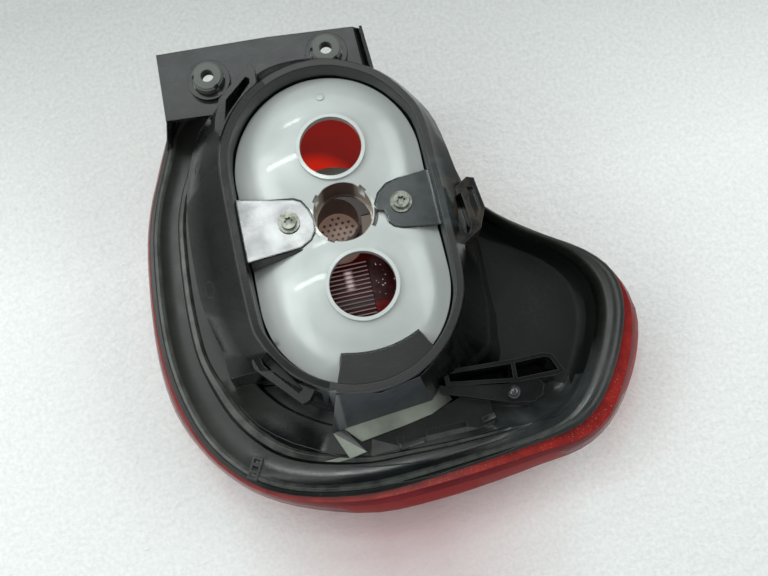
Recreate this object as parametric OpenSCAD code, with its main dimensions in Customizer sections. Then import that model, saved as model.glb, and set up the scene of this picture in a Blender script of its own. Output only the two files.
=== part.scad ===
// Rear lamp cluster, resting on its lens with the open back of the housing up.
// Origin: on the resting plane, under the axis of the middle lamp socket.
// +Z runs out of the back, +Y along the collar towards the fixing plate, +X across.

/* [Levels] */
// Height of the back face of the housing flange
flange_z = 50; // [46:1:54]
// Height of the collar rim
rim_z = 110; // [106:1:116]
// Depth of the top face of the fixing plate under the rim
plate_drop = 22; // [18:1:26]
// Height of the floor of the deep pocket beside the collar
pocket_z = 25; // [20:1:32]
// Depth of the shoulder line of the left skirt under the rim
shoulder_drop = 25; // [20:1:32]
// Depth of the tops of both reflector domes under the rim
dome_drop = 4; // [2:0.5:7]
// Depth of the tabs that hold the reflector under the rim
tab_drop = 10; // [9:0.5:12]

/* [Collar] */
// Radius of the inner edge of the collar at both round ends
collar_r = 49.5; // [46:0.5:51]
// Width of the collar rim
rim_w = 4.5; // [3:0.5:6]
// Y of the centre of the upper round end
upper_y = 27; // [23:1:30]
// Y of the centre of the lower round end
lower_y = -38; // [-42:1:-35]

/* [Walls] */
// Wall thickness of the black housing
wall = 2.6; // [2:0.1:3]
// Wall thickness of the red lens
lens_t = 3; // [2.5:0.1:3.5]
// Gap between the flange and the lens rim
joint_gap = 0.3; // [0.2:0.1:0.5]

/* [Lamp holes] */
// Radius of the upper lamp hole
upper_hole_r = 15.6; // [14:0.1:16.5]
// Radius of the lower lamp hole
lower_hole_r = 16.5; // [14:0.1:17]
// Radius of the middle socket
socket_r = 15; // [13:0.1:15.5]
// Radius of curvature of the domes
dome_r = 100; // [90:1:120]

/* [Fasteners] */
// Radius of the washer flange of the reflector screws
washer_r = 5.6; // [5:0.1:6.5]
// Radius of the screw shank
shank_r = 2.4; // [2:0.1:2.6]
// Radius of the bore of the fixing bushes
bush_bore_r = 3.4; // [3:0.1:4.5]
// Outer radius of the fixing bushes
bush_r = 8.2; // [7.6:0.1:8.6]
// Radius of the locating stud
stud_r = 4; // [3:0.1:4.5]

/* [Hidden] */
$fn = 64;

plate_z = rim_z - plate_drop;
shoulder_z = rim_z - shoulder_drop;
dome_z = rim_z - dome_drop;
tab_z = rim_z - tab_drop;

// Play between parts that seat in one another
play = 0.3;
// X of the middle line of the collar
collar_x = -2.5;
flange_t = 3;
// Width of the lens rim under the flange
lap = 1;
// Ledge inside the collar that the reflector stands on
ledge_z = rim_z - 34;
ledge_w = 4.4;

// Rows of stations round the lamp, anticlockwise from the upper left:
// edge x, edge y, collar angle, wall flare at the foot and near the rim,
// share of the grooved profile (0 is the lip of the pocket), lens ledge, lens bulge,
// shift of the inner ridge
stations = [
    [-85, 82, 130, 10, 8, 1, 0.5, 3, 0],
    [-89.2, 72.5, 141, 10, 8, 1, 1, 4, 0],
    [-95.6, 56.5, 152, 10, 8, 1, 1.2, 4, 0],
    [-101.6, 41, 162, 9, 7, 1, 1.2, 4, 0],
    [-106.5, 22, 172.5, 8, 6, 1, 1.2, 4, 0],
    [-109.6, -2, 179, 8, 6, 1, 1.2, 4, 0],
    [-111, -27, 185, 8, 6, 1, 1.4, 4, 1],
    [-110, -49, 192, 8, 5, 1, 1.5, 4.5, 2],
    [-106, -71, 201, 7, 4, 1, 1.7, 4.6, 4],
    [-98.5, -92, 212, 6, 3, 1, 1.6, 3.2, 5.5],
    [-86.5, -109.5, 224, 5, 2, 1, 1.7, 2.6, 5.5],
    [-70, -123.5, 237, 4, 1, 1, 2, 2.6, 4.5],
    [-46, -133, 249, 4, 1, 1, 2.5, 4, 2],
    [-14, -138, 261, 4, 1, 1, 3, 7.2, -2],
    [18, -136.7, 273, 4, 1, 1, 3.8, 8, -3],
    [48, -134, 285, 4, 1, 1, 4.5, 7.5, -3],
    [76, -131, 297, 7, 2, 0.92, 4.8, 6.5, -2],
    [97, -127.5, 308, 13, 3, 0.5, 6.5, 5.5, 0],
    [111.5, -119.5, 318, 21, 3, 0.1, 8, 4.5, 0],
    [123.5, -105, 329, 30, 3, 0, 7, 6, 0],
    [133.5, -87, 338, 26.5, 3, 0, 6, 7, 0],
    [140, -68, 347, 24.5, 3, 0, 4.2, 6.5, 0],
    [139, -50, 353, 23, 4, 0, 1, 3, 0],
    [127, -34.5, 356.5, 23, 6, 0, 0, 3, 0],
    [104, -19, 359, 22.5, 8, 0.05, 0, 3, 0],
    [84, -3.5, 361, 19, 10, 0.3, 0, 3, 0],
    [72, 12, 364, 11, 9, 0.8, 0, 3, 0],
    [66, 34, 371, 8, 6, 1, 0, 3, 0],
    [58, 56, 388, 6, 4, 1, 1, 3, 0],
    [44, 76, 410, 6, 4, 1, 1, 3, 0],
    [22, 90, 434, 6, 4.5, 1, 1, 3, 0],
    [-8, 97, 453, 7, 6, 1, 1, 3, 0],
    [-40, 99, 468, 9, 8, 1, 1, 3, 0],
    [-70, 94, 480, 10, 8, 1, 1, 3, 0]];

// Centre that the lens rings shrink towards
lens_c = [10, -33];

function mix(a, b, t) = a + (b - a) * t;
function clamp(v, lo, hi) = min(max(v, lo), hi);
function unit(v) = v / norm(v);
function spline(p, q, r, s, t) = 0.5 * (2 * q + (r - p) * t
    + (2 * p - 5 * q + 4 * r - s) * t * t + (3 * q - p - 3 * r + s) * t * t * t);
function closed_curve(p, m) = let (n = len(p))
    [for (i = [0:n - 1], k = [0:m - 1])
        spline(p[(i + n - 1) % n], p[i], p[(i + 1) % n], p[(i + 2) % n], k / m)];
function open_curve(p, m) = let (n = len(p))
    concat([for (i = [0:n - 2], k = [0:m - 1])
        spline(p[max(i - 1, 0)], p[i], p[i + 1], p[min(i + 2, n - 1)], k / m)], [p[n - 1]]);

// A point of the collar outline: round ends, and sides between them
function oval(a, r) = let (s = sin(a))
    [collar_x + r * cos(a), r * s + mix(lower_y, upper_y, clamp(0.5 + s / 0.3, 0, 1))];

// The smooth rows: edge, rim point and foot point, then flare near the rim, share of
// the grooved profile, ledge, bulge and shift of the ridge
rows = closed_curve([for (s = stations)
    concat([s[0], s[1]], oval(s[2], collar_r), oval(s[2], collar_r + rim_w + s[3]),
        [s[4], s[5], s[6], s[7], s[8]])], 3);
count = len(rows);
function edge(j) = [rows[j][0], rows[j][1]];
function rim(j) = [rows[j][2], rows[j][3]];
function foot(j) = [rows[j][4], rows[j][5]];
function brow(j) = rows[j][6];
function level(j) = clamp(rows[j][7], 0, 1);
function ledge(j) = rows[j][8];
function bulge(j) = rows[j][9];
function ridge_shift(j) = rows[j][10];
function outward(j) = let (d = edge((j + 1) % count) - edge((j + count - 1) % count))
    unit([d[1], -d[0]]);

// Closed skin through sections of equal length, closed round the loop as well
module ring_body(sections)
{
    n = len(sections);
    m = len(sections[0]);
    polyhedron([for (s = sections, p = s) p],
        [for (j = [0:n - 1], k = [0:m - 1]) let (a = j * m + k, b = j * m + (k + 1) % m,
            c = ((j + 1) % n) * m + (k + 1) % m, d = ((j + 1) % n) * m + k)
            each [[a, b, c], [a, c, d]]]);
}

// Twice the area of a section, as a vector along its normal
function facing(s) = [for (p = s) 1]
    * [for (k = [0:len(s) - 1]) cross(s[k], s[(k + 1) % len(s)])];
// Sections in the order of points that turns their skin outwards
function wound(sections) = facing(sections[0]) * (sections[1][0] - sections[0][0]) > 0
    ? [for (s = sections) [for (k = [len(s) - 1:-1:0]) s[k]]] : sections;

// Closed skin through sections, with convex end faces
module bar_body(rough)
{
    sections = wound(rough);
    n = len(sections);
    m = len(sections[0]);
    polyhedron([for (s = sections, p = s) p],
        concat([for (j = [0:n - 2], k = [0:m - 1]) let (a = j * m + k, b = j * m + (k + 1) % m,
            c = (j + 1) * m + (k + 1) % m, d = (j + 1) * m + k)
            each [[a, b, c], [a, c, d]]],
            [[for (k = [m - 1:-1:0]) k]], [[for (k = [0:m - 1]) (n - 1) * m + k]]));
}

// Profile of the housing at row j: distance from the edge and height of each ring,
// for the grooved flange and for the plain lip beside the pocket
groove = [[0, 0], [2.2, 0.3], [3, 1.6], [4.6, 2.2], [6.2, 1.4], [9.5, 0.2],
    [12.5, -0.6], [16.6, -0.8], [17.8, 1.8], [20, 2.4], [21.6, 1], [23, 0.6], [24.5, -14]];
lip = [[0, 0], [1.6, 1.6], [4, 2.4], [6.6, 2.4], [9.2, 1.6], [11.6, -0.4],
    [12.8, -4], [13.8, -10], [14.8, -17], [16.4, -22], [19.5, -24.6], [22, -25], [24, -25]];
caps = [0, 0.1, 0.15, 0.22, 0.28, 0.4, 0.48, 0.56, 0.64, 0.74, 0.82, 0.9, 0.95];
rings = len(groove);
function reach(j, k, l) = k < 5 ? 0 : k < 11 ? ridge_shift(j) * (k - 4) / 6
    : max(0, l - groove[k][0] - (12 - k) * 1.5 - 7);
function ring_d(j, k, l) = min(mix(lip[k][0], groove[k][0] + reach(j, k, l), level(j)),
    caps[k] * l);
function ring_z(j, k) = flange_z + mix(lip[k][1] * (flange_z - pocket_z) / 25,
    groove[k][1], level(j));
function floor_z(j) = mix(pocket_z, flange_z - 14, level(j));

function housing_section(j) = let (e = edge(j), f = foot(j), r = rim(j), g = level(j),
        l = norm(f - e), u = (f - e) / l, w = unit(f - r), z0 = flange_z - flange_t,
        a = r + rim_w * w, zf = floor_z(j))
    concat([[each e, z0]],
        [for (k = [0:rings - 1]) [each (e + ring_d(j, k, l) * u), ring_z(j, k)]],
        [[each f, zf], [each (a + brow(j) * w), rim_z - 11],
        [each (a + 0.35 * brow(j) * w), rim_z - 5],
        [each a, rim_z - 1.6], [each (a - 0.8 * w), rim_z], [each (r + 0.5 * w), rim_z],
        [each r, rim_z - 1], [each (r - 0.6 * w), ledge_z],
        [each (r - (0.6 + ledge_w) * w), ledge_z],
        [each (r - (0.6 + ledge_w) * w), ledge_z - 1.6],
        [each (r - 0.6 * w), ledge_z - 5],
        [each (f - wall * w), zf - wall],
        [each (e + (ring_d(j, 11, l) - 1.5) * u), zf - wall],
        [each (e + (ring_d(j, 10, l) - 1 - 0.5 * (1 - g)) * u), ring_z(j, 10) - wall - 0.4],
        [each (e + (ring_d(j, 8, l) - 1.6 - 1.4 * (1 - g)) * u),
            ring_z(j, 7) - wall - 5 * (1 - g)],
        [each (e + (ring_d(j, 6, l) - 1 - 2 * (1 - g)) * u),
            ring_z(j, 6) - wall - 0.4 * (1 - g)],
        [each (e + max(ring_d(j, 5, l) - 2, lap + 0.4) * u), z0]]);

// Left skirt between the rim and the shoulder line, its foot set into the flange
skirt_set = 1.4;
skirt_out = 2.5;
shoulder = [[-46, 81], [-54.5, 75], [-61.5, 67.5], [-68.5, 57], [-73.5, 45], [-77.6, 30],
    [-79.6, 15], [-80.4, -1], [-80.4, -24], [-77.4, -41], [-74.4, -53], [-73, -68]];
skirt_angles = [122, 130, 138, 147, 155, 164, 174, 179, 185, 192, 203, 218];
skirt_rows = open_curve([for (i = [0:11])
    concat(shoulder[i], oval(skirt_angles[i], collar_r + rim_w - 1))], 3);
function skirt_pts(j) = let (q = skirt_rows[j], s = [q[0], q[1]], r = [q[2], q[3]],
        w = unit(s - r))
    [[each r, rim_z - 1.5], [each mix(r, s, 0.55), mix(rim_z - 1.5, shoulder_z, 0.42)],
        [each s, shoulder_z], [each (s + skirt_out * w), flange_z - skirt_set],
        [each (s + (skirt_out - wall) * w), flange_z - skirt_set],
        [each (s - wall * w), shoulder_z - wall],
        [each mix(r, s, 0.5), mix(rim_z - 1.5, shoulder_z, 0.42) - wall],
        [each r, rim_z - 1.5 - wall]];
function skirt_wall(j) = let (q = skirt_rows[j], s = [q[0], q[1]], r = [q[2], q[3]],
        w = unit(s - r), t = wall / 2)
    [[each (r + 2 * w), rim_z - 2.2 - t],
        [each mix(r, s, 0.52), mix(rim_z - 1.5, shoulder_z, 0.42) - t],
        [each (s - t * w), shoulder_z - t],
        [each (s + (skirt_out - t) * w), flange_z - skirt_set - 0.4],
        [each (r + 2 * w), flange_z - 14.5]];

module skirt()
{
    n = len(skirt_rows);
    m = 8;
    polyhedron([for (s = wound([for (j = [0:n - 1]) skirt_pts(j)]), p = s) p],
        concat([for (j = [0:n - 2], k = [0:m - 1]) let (a = j * m + k, b = j * m + (k + 1) % m,
            c = (j + 1) * m + (k + 1) % m, d = (j + 1) * m + k)
            each [[a, b, c], [a, c, d]]],
            [[7, 6, 1, 0], [6, 5, 2, 1], [5, 4, 3, 2]],
            let (o = (n - 1) * m) [[o, o + 1, o + 6, o + 7], [o + 1, o + 2, o + 5, o + 6],
                [o + 2, o + 3, o + 4, o + 5]]));
    end_wall(0, 1, 0.15);
    end_wall(n - 2, n - 1, 0.85);
}

// Wall that closes an end of the skirt, between rows j and k and set in by a share of them
module end_wall(j, k, share)
{
    p = skirt_wall(j);
    q = skirt_wall(k);
    bar_body([for (t = [share, share + 0.45 * sign(0.5 - share)])
        [for (i = [0:4]) mix(p[i], q[i], t)]]);
}

// Fixing plate beside the upper end of the collar, folded down at its right end
plate_t = 3;
fold_drop = 9;
web_low = flange_z - 1;
seat_r = 11.3;
seat_h = 3;
plate = concat([[-80.4, 73], [-79.2, 111], [-20, 108.6], [27, 104.6], [27.6, 76]],
    [for (a = [62:9:125]) [collar_x, upper_y] + (collar_r + 2.5) * [cos(a), sin(a)]]);
left_bush = [-54, 89.8];
right_bush = [9.9, 91.9];

module plate_body()
{
    translate([0, 0, plate_z - plate_t])
        linear_extrude(plate_t) polygon(plate);
    bar_body([fold([26.4, 104.6], [31.6, 104.4]), fold([27, 76], [32.6, 76])]);
    bar_body([fold_rim([31.8, 104.8]), fold_rim([33.2, 76])]);
    bar_body([cheek([-80.4, 73], [-88.4, 71.5]), cheek([-79.6, 98], [-76, 91])]);
    bar_body([curb([-79.2, 111]), curb([-20, 108.6]), curb([27, 104.6])]);
    for (x = [-34, 23])
        translate([x, 74, web_low]) cube([wall, 20, plate_z - plate_t - web_low + 1]);
}
function fold(p, q) = [[each p, plate_z], [each q, plate_z - fold_drop / 2],
    [q[0], q[1], plate_z - fold_drop / 2 - plate_t], [p[0] - 1.4, p[1], plate_z - plate_t]];
function fold_rim(p) = [[p[0] - 1.5, p[1], plate_z - 1], [each p, plate_z - 1.4],
    [p[0], p[1], plate_z - fold_drop - 2], [p[0] - 1.5, p[1], plate_z - fold_drop - 2]];
function cheek(p, q) = [[each p, plate_z - 1], [each q, web_low],
    [q[0] + wall, q[1], web_low], [p[0] + wall, p[1], plate_z - 1]];
function curb(p) = [[each p, plate_z - 0.5], [each p, plate_z - 8],
    [p[0], p[1] - wall, plate_z - 8], [p[0], p[1] - wall, plate_z - 0.5]];

module bush_seats()
{
    for (p = [left_bush, right_bush])
        translate([p[0], p[1], plate_z - plate_t])
            cylinder(r = seat_r, h = plate_t + seat_h);
}

// Loops that caught the clips of the lamp holder: outline, slot, bottom and top
loop_h = 13;
loops = [
    [[[-49.5, 70.7], [-30.8, 86.7], [-28.4, 83.5], [-29.6, 71], [-42, 58], [-50, 48],
        [-54.5, 54.6], [-53.6, 59.4]],
    [[-48.6, 58.6], [-46, 69.6], [-34, 79.8], [-32.2, 78.6], [-32.5, 76], [-45.8, 62.4]],
    rim_z - 3],
    [[[48, -2], [54, -2], [64.6, 4.8], [68.2, 3.6], [70.2, -12.7], [65.8, -22.8],
        [55.4, -29], [48, -29]],
    [[56.4, -4.6], [60, -2.6], [61.6, -20], [59.2, -24.6], [57.4, -23]],
    rim_z - 8],
    [[[-50, -55], [-59.2, -64], [-58.6, -68], [-39, -89.6], [-35.4, -88.6], [-29, -81],
        [-40.5, -72]],
    [[-54.4, -64.2], [-53.8, -67.4], [-39.8, -84.2], [-37.2, -82.6], [-50.6, -62.2]],
    rim_z - 9]];
module clip_loops()
{
    for (l = loops)
        translate([0, 0, l[2] - loop_h]) linear_extrude(loop_h) polygon(l[0]);
}
module loop_slots()
{
    for (l = loops)
        translate([0, 0, l[2] - loop_h - 1]) linear_extrude(loop_h + 12) polygon(l[1]);
    translate([0, 0, rim_z - 11]) linear_extrude(4)
        polygon([[63.6, -0.4], [66.6, -1], [67.8, -12], [64.8, -18], [63.4, -10]]);
}

// Tabs that hold the reflector down
left_screw = [-27.7, 0.9];
right_screw = [29.7, -0.5];
tab_t = 2.8;
left_tab = [[-52, 18.6], [-23, 12.4], [-19.6, 10.4], [-17, 6], [-15.2, 0], [-15.6, -5.5],
    [-18.6, -10], [-24, -12.8], [-52, -15]];
right_tab = [[53, 14.4], [31, 12.2], [24.4, 10.4], [19.4, 6.4], [16.8, 1.4], [17.4, -2.2],
    [20.4, -2.8], [21.6, -6], [21.6, -9.2], [24, -12], [28, -13.4], [53, -17]];
module tab(outline, root, tip)
{
    translate([0, 0, tab_z - tab_t])
        linear_extrude(tab_t) polygon(outline);
    bar_body([gusset(root, 6), gusset(tip, tab_t - 0.4)]);
}
function gusset(p, drop) = [[each p, tab_z - 1.2], [each p, tab_z - drop],
    [p[0], p[1] + 2, tab_z - drop], [p[0], p[1] + 2, tab_z - 1.2]];

// Curved tab at the lower end, level with the reflector edge
lower_tab_outline = concat([[-15.6, -70]],
    [for (a = [256:5:296]) [0, -18] + 54 * [cos(a), sin(a)]],
    [[31.5, -79], [26, -85], [10, -90], [-10, -90], [-21.5, -85.6]]);
module lower_tab()
{
    translate([0, 0, tab_z - tab_t])
        linear_extrude(tab_t) polygon(lower_tab_outline);
}

// Ramp from the rim down to the sill
ramp_low = flange_z - 3;
function ramp_row(top, low, back) = [[each top, rim_z - 4.5], [each low, flange_z + 6],
    [each low, ramp_low], [each back, ramp_low]];
module ramp()
{
    bar_body([ramp_row([-22.4, -89.2], [-29.6, -103], [-24, -84]),
        ramp_row([-1, -93], [-4, -100.4], [-1, -88]),
        ramp_row([19, -89.4], [25.5, -97.5], [17, -82]),
        ramp_row([29.5, -82.6], [34, -86.6], [26, -76])]);
}

// Sills, box and bar between the collar and the lower flange
sill_z = flange_z - 15;
module sill(outline, top)
{
    translate([0, 0, sill_z]) linear_extrude(top - sill_z) polygon(outline);
}
function sill_row(high, low) = [[each high, flange_z + 6.6], [each low, flange_z + 3],
    [each low, sill_z], [each high, sill_z]];
module sills()
{
    bar_body([sill_row([-22.9, -102.4], [-15.4, -110.5]), sill_row([5, -98], [8, -107.2]),
        sill_row([22, -94.5], [24, -104.4]), sill_row([32, -90.5], [36.3, -99.2])]);
    bar_body([sill_row([-24, -101], [-29.4, -102.8]), sill_row([-13.7, -116.4], [-23.2, -117.8])]);
    difference()
    {
        sill([[-10, -110.2], [22.6, -104.8], [40, -99], [56, -102], [56, -115], [47, -117],
            [-12, -119]], flange_z + 1.4);
        translate([3, -116.6, flange_z - 3]) cube([3.4, 4.4, 6]);
        translate([19, -114.8, flange_z - 3]) cube([22, 3, 6]);
    }
}

module clip_box()
{
    box_z = flange_z + 11;
    translate([0, 0, pocket_z - 1]) linear_extrude(box_z - pocket_z + 1) difference()
    {
        polygon([[34, -84], [72, -86], [88, -86], [92.5, -87.8], [97, -97.4], [93, -99.2],
            [82, -98.6], [70.7, -98.2], [34, -92.4]]);
        polygon([[36.4, -86.4], [70, -88.2], [69.4, -95.8], [36.4, -90.6]]);
        polygon([[72.2, -88.2], [87.6, -88.2], [91, -89.4], [93.6, -96.4], [71.6, -96.2]]);
    }
    translate([0, 0, sill_z]) linear_extrude(flange_z + 9 - sill_z)
        polygon([[31, -91.4], [64, -97.6], [70.8, -98], [82, -98], [85, -102], [83, -107],
            [78, -110], [66, -108], [31, -95.6]]);
}

stud_at = [67.6, -103];

// Small ladder shaped catch on the flange
module catch()
{
    translate([-73, -112, flange_z - 1])
        rotate(-28) difference()
        {
            translate([-2.8, -6, 0]) cube([5.6, 12, 3.6]);
            for (y = [-4.6, -0.9, 2.8])
                translate([-1.6, y, 1]) cube([3.2, 2, 4]);
        }
}

module housing()
{
    color([0.05, 0.05, 0.055]) difference()
    {
        union()
        {
            ring_body([for (j = [0:count - 1]) housing_section(j)]);
            skirt();
            plate_body();
            bush_seats();
            clip_loops();
            tab(left_tab, [-51, -14.2], [-38, -13.2]);
            tab(right_tab, [52, -16], [40, -14.3]);
            lower_tab();
            ramp();
            sills();
            clip_box();
            catch();
        }
        for (p = [left_bush, right_bush])
            translate([p[0], p[1], plate_z - plate_t - 1])
                cylinder(r = bush_r + play, h = plate_t + bush_top + 3);
        for (p = [left_screw, right_screw])
            translate([p[0], p[1], tab_z - tab_t - 1])
                cylinder(r = shank_r + play, h = tab_t + 2);
        loop_slots();
        translate([stud_at[0], stud_at[1], flange_z - 4])
            cylinder(r = stud_r - 1 + play, h = 20);
    }
}

// Lens: rings of the rim and side, then rings that shrink to the flat bottom
lens_rim_z = flange_z - flange_t - joint_gap;
outer_rings = [[0.985, 22], [0.94, 12], [0.86, 5.5], [0.72, 1.6], [0.46, 0]];
inner_rings = [[0.46, 3], [0.71, 4.5], [0.838, 8.2], [0.912, 14], [0.958, 23]];
function shrink(p, s) = lens_c + (p - lens_c) * s;
function lens_section(j) = let (e = edge(j), o = outward(j), g = ledge(j), b = bulge(j),
        s = e + (g + b) * o, k = lens_t / 3)
    concat([[each (e - lap * o), lens_rim_z], [each (e + g * o), lens_rim_z],
        [each (e + (g + 0.4 * b) * o), lens_rim_z - 3.4], [each s, 32]],
        [for (r = outer_rings) [each shrink(s, r[0]), r[1]]],
        [for (r = inner_rings) [each shrink(s, r[0]), r[1] * (r[1] < 9 ? k : 1)]],
        [[each (s - lens_t * o), 32],
        [each (e + max(g + 0.4 * b - lens_t, -lap) * o), lens_rim_z - 4.4],
        [each (e - lap * o), lens_rim_z - lens_t]]);

module lens()
{
    sections = [for (j = [0:count - 1]) lens_section(j)];
    m = len(sections[0]);
    low = 8;
    bottom = count * m;
    color([0.6, 0.03, 0.03])
        polyhedron(concat([for (s = sections, p = s) p], [[each lens_c, 0], [each lens_c, lens_t]]),
            concat([for (j = [0:count - 1], k = [0:m - 1]) if (k != low)
                let (a = j * m + k, b = j * m + (k + 1) % m,
                    c = ((j + 1) % count) * m + (k + 1) % m, d = ((j + 1) % count) * m + k)
                each [[a, c, b], [a, d, c]]],
            [for (j = [0:count - 1]) let (a = j * m + low, b = ((j + 1) % count) * m + low)
                each [[a, b, bottom], [a + 1, bottom + 1, b + 1]]]));
}

// Reflector: two domes with a valley between, trimmed to the collar outline
upper_hole = [0.9, 34];
lower_hole = [1.8, -39];
socket = [0, 0];
skirt_low = ledge_z + play;
refl_r = collar_r - 1.3;
module oval_prism(r, low, high)
{
    translate([0, 0, low]) linear_extrude(high - low)
    {
        translate([collar_x, upper_y]) circle(r = r);
        translate([collar_x, lower_y]) circle(r = r);
        translate([collar_x - r, lower_y]) square([2 * r, upper_y - lower_y]);
    }
}
// An outline grown by d
function grown(p, d) = let (n = len(p),
        turn = sign([for (q = p) 1] * [for (i = [0:n - 1]) cross(p[i], p[(i + 1) % n])]))
    [for (i = [0:n - 1]) let (a = unit(p[i] - p[(i + n - 1) % n]),
        b = unit(p[(i + 1) % n] - p[i]), s = [a[1] + b[1], -a[0] - b[0]])
        p[i] + d * turn * s / (1 + a * b)];
// Space over and around the three tabs, from low upwards
tab_seat = tab_z - tab_t - play;
module tab_prisms(d, low)
{
    for (o = [left_tab, right_tab, lower_tab_outline])
        translate([0, 0, low]) linear_extrude(dome_z + 1 - low) polygon(grown(o, d));
}
module domes(r)
{
    for (p = [upper_hole, lower_hole])
        translate([p[0], p[1], dome_z - dome_r]) sphere(r = r, $fn = 128);
}
module reflector()
{
    color([0.8, 0.82, 0.82]) difference()
    {
        union()
        {
            intersection()
            {
                domes(dome_r);
                oval_prism(refl_r, skirt_low, dome_z + 1);
            }
            for (p = [[upper_hole, upper_hole_r], [lower_hole, lower_hole_r]])
                translate([p[0][0], p[0][1], dome_z - 6])
                    cylinder(r = p[1] + 2, h = 6.6);
            translate([socket[0], socket[1], dome_z - 24])
                cylinder(r = socket_r + 2, h = 18.5);
            for (p = [left_screw, right_screw])
                translate([p[0], p[1], tab_z - 16])
                    cylinder(r = 4.6, h = 16 - tab_t - play);
        }
        difference()
        {
            intersection()
            {
                domes(dome_r - 2.5);
                oval_prism(refl_r - 2.5, skirt_low - 1, dome_z);
            }
            translate([socket[0], socket[1], dome_z - 24])
                cylinder(r = socket_r + 2, h = 30);
            for (p = [left_screw, right_screw])
                translate([p[0], p[1], tab_z - 16])
                    cylinder(r = 4.6, h = 30);
            tab_prisms(3, tab_seat - 2.4);
        }
        tab_prisms(0.6, tab_seat);
        translate([upper_hole[0], upper_hole[1], dome_z - 12])
            cylinder(r = upper_hole_r, h = 20);
        translate([lower_hole[0], lower_hole[1], dome_z - 12])
            cylinder(r = lower_hole_r, h = 20);
        translate([socket[0], socket[1], dome_z - 22])
            cylinder(r = socket_r, h = 40);
        translate([socket[0], socket[1], dome_z - 30])
            cylinder(r = socket_r - 0.8, h = 40);
        for (a = [40, 142, 236])
            translate([socket[0], socket[1], dome_z - 14]) rotate(a)
                translate([socket_r - 2, -2, 0]) cube([3.4, 4, 20]);
        translate([socket[0], socket[1], dome_z - 14]) rotate(-36)
            rotate_extrude(angle = 34) translate([socket_r + 0.8, 0]) square([2, 20]);
        for (p = [left_screw, right_screw])
            translate([p[0], p[1], tab_z - 15.5])
                cylinder(r = shank_r + play / 2, h = 20);
    }
}

module flanged_screw(at)
{
    color([0.6, 0.6, 0.58]) translate([at[0], at[1], tab_z + 0.1]) difference()
    {
        union()
        {
            cylinder(r = washer_r, h = 1.2);
            cylinder(r = washer_r * 0.7, h = 3.6);
            translate([0, 0, -14]) cylinder(r = shank_r, h = 14.5);
        }
        translate([0, 0, 1.4])
            for (a = [0, 60, 120]) rotate(a)
                translate([-2.1, -0.6, 0]) cube([4.2, 1.2, 3]);
        translate([0, 0, 1.4]) cylinder(r = 1.6, h = 3);
    }
}

module left_reflector_screw() flanged_screw(left_screw);
module right_reflector_screw() flanged_screw(right_screw);

bush_top = 8;
module fixing_bush(at)
{
    color([0.3, 0.31, 0.29]) translate([at[0], at[1], plate_z]) difference()
    {
        union()
        {
            translate([0, 0, -2]) cylinder(r = bush_r, h = bush_top + 1.2);
            cylinder(r = bush_r * 0.9, h = bush_top);
        }
        translate([0, 0, -3]) cylinder(r = bush_bore_r, h = bush_top + 4);
        translate([0, 0, -3]) cylinder(r = bush_r - 1.6, h = 4.4);
        for (a = [175, 300])
            rotate(a) translate([bush_r - 1.3, -1.2, bush_top - 4]) cube([3, 2.4, 9]);
    }
}
module left_fixing_bush() fixing_bush(left_bush);
module right_fixing_bush() fixing_bush(right_bush);

module locating_stud()
{
    color([0.05, 0.05, 0.05]) translate([stud_at[0], stud_at[1], flange_z + 9.3])
    {
        translate([0, 0, -9]) cylinder(r = stud_r - 1, h = 10);
        cylinder(r = stud_r, h = 3);
        translate([0, 0, 3]) intersection()
        {
            sphere(r = stud_r);
            cylinder(r = stud_r + 1, h = stud_r + 1);
        }
    }
}

// Optics that stand on the inside of the lens, under the socket and the lower hole
optic_low = lens_t + 0.3;
optic_t = 3;
cup_r = 14;
cup_floor = 20;
cup_top = 50;
cup_at = [-3.5, 11.5];
cup_brim_r = 31;
cup_brim_t = 2;
rib_corner = [-24, -47];
rib_size = [33, 44];
reflex_corner = [rib_corner[0] + rib_size[0] + 0.4, rib_corner[1]];
reflex_w = 28;
rib_pitch = 2.6;
module indicator_optic()
{
    in_r = cup_r - 1.6;
    color([0.6, 0.45, 0.4]) translate([cup_at[0], cup_at[1], 0]) difference()
    {
        union()
        {
            translate([0, 0, optic_low]) cylinder(r = cup_r, h = cup_top - optic_low);
            translate([0, 0, cup_top - cup_brim_t]) rotate_extrude(angle = 180)
                translate([cup_r - 1, 0]) square([cup_brim_r - cup_r + 1, cup_brim_t]);
        }
        translate([0, 0, cup_floor]) cylinder(r = in_r, h = cup_top);
        translate([0, 0, optic_low - 1]) cylinder(r = in_r, h = cup_floor - optic_low - 1);
        for (i = [-3:3], k = [-3:3])
            let (x = 3.6 * i + 1.8 * (k % 2), y = 3.2 * k)
                if (norm([x, y]) < in_r - 1.4)
                    translate([x, y, cup_floor - 0.7]) cylinder(r = 0.9, h = 2, $fn = 16);
    }
}

module reversing_optic()
{
    color([0.6, 0.3, 0.3]) translate([rib_corner[0], rib_corner[1], optic_low])
    {
        cube([rib_size[0], rib_size[1], optic_t]);
        for (y = [0.4:rib_pitch:rib_size[1] - 1.4])
            translate([0, y, 0]) cube([rib_size[0], 1.3, optic_t + 1.2]);
    }
}

module reflex_optic()
{
    color([0.5, 0.05, 0.05]) translate([reflex_corner[0], reflex_corner[1], optic_low])
    {
        cube([reflex_w, rib_size[1], optic_t]);
        for (x = [3:4:reflex_w - 2], y = [3:4:rib_size[1] - 2])
            translate([x, y, 0]) cylinder(r = 1.2, h = optic_t + 0.8, $fn = 6);
    }
}

lens();
housing();
reflector();
left_reflector_screw();
right_reflector_screw();
left_fixing_bush();
right_fixing_bush();
locating_stud();
indicator_optic();
reversing_optic();
reflex_optic();
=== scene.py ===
import math

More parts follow.
